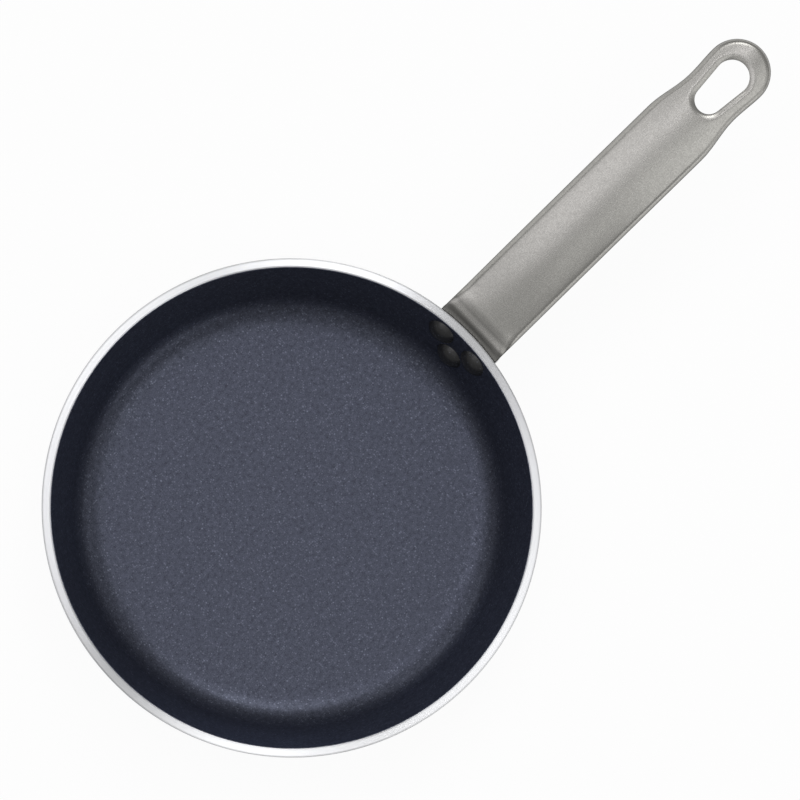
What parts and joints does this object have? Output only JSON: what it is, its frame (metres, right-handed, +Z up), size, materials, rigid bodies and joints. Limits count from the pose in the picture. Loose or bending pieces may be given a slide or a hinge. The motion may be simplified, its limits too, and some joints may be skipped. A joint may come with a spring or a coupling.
{
  "type": "omelette pan",
  "caption": "Shallow round aluminium omelette pan with flared walls, a non-stick inside, a bare turned rim and a pressed strip-steel handle with a hanging slot.",
  "frame": {"origin": "centre of the flat underside of the base, on the plane the pan stands on", "axes": "+Z up, square to the base; +X along the handle, from the dish's centre to the hanging eye"},
  "size_m": [0.4331, 0.24, 0.0745],
  "materials": {
    "bare_aluminium": "bare, finely turned rim and base, satin spun outside",
    "nonstick": "dark blue-grey non-stick coating with fine pale flecks, semi-matt",
    "grey_coated_steel": "warm grey fine-textured stoved coating on steel, semi-gloss",
    "coated_rivet": "aluminium, with the inner dome under the non-stick coating"
  },
  "bodies": {
    "root": {"pan_body": "bare_aluminium", "nonstick_coating": "nonstick", "handle": "grey_coated_steel", "rivet_upper_left": "coated_rivet", "rivet_upper_right": "coated_rivet", "rivet_lower": "coated_rivet"}
  },
  "joints": []
}
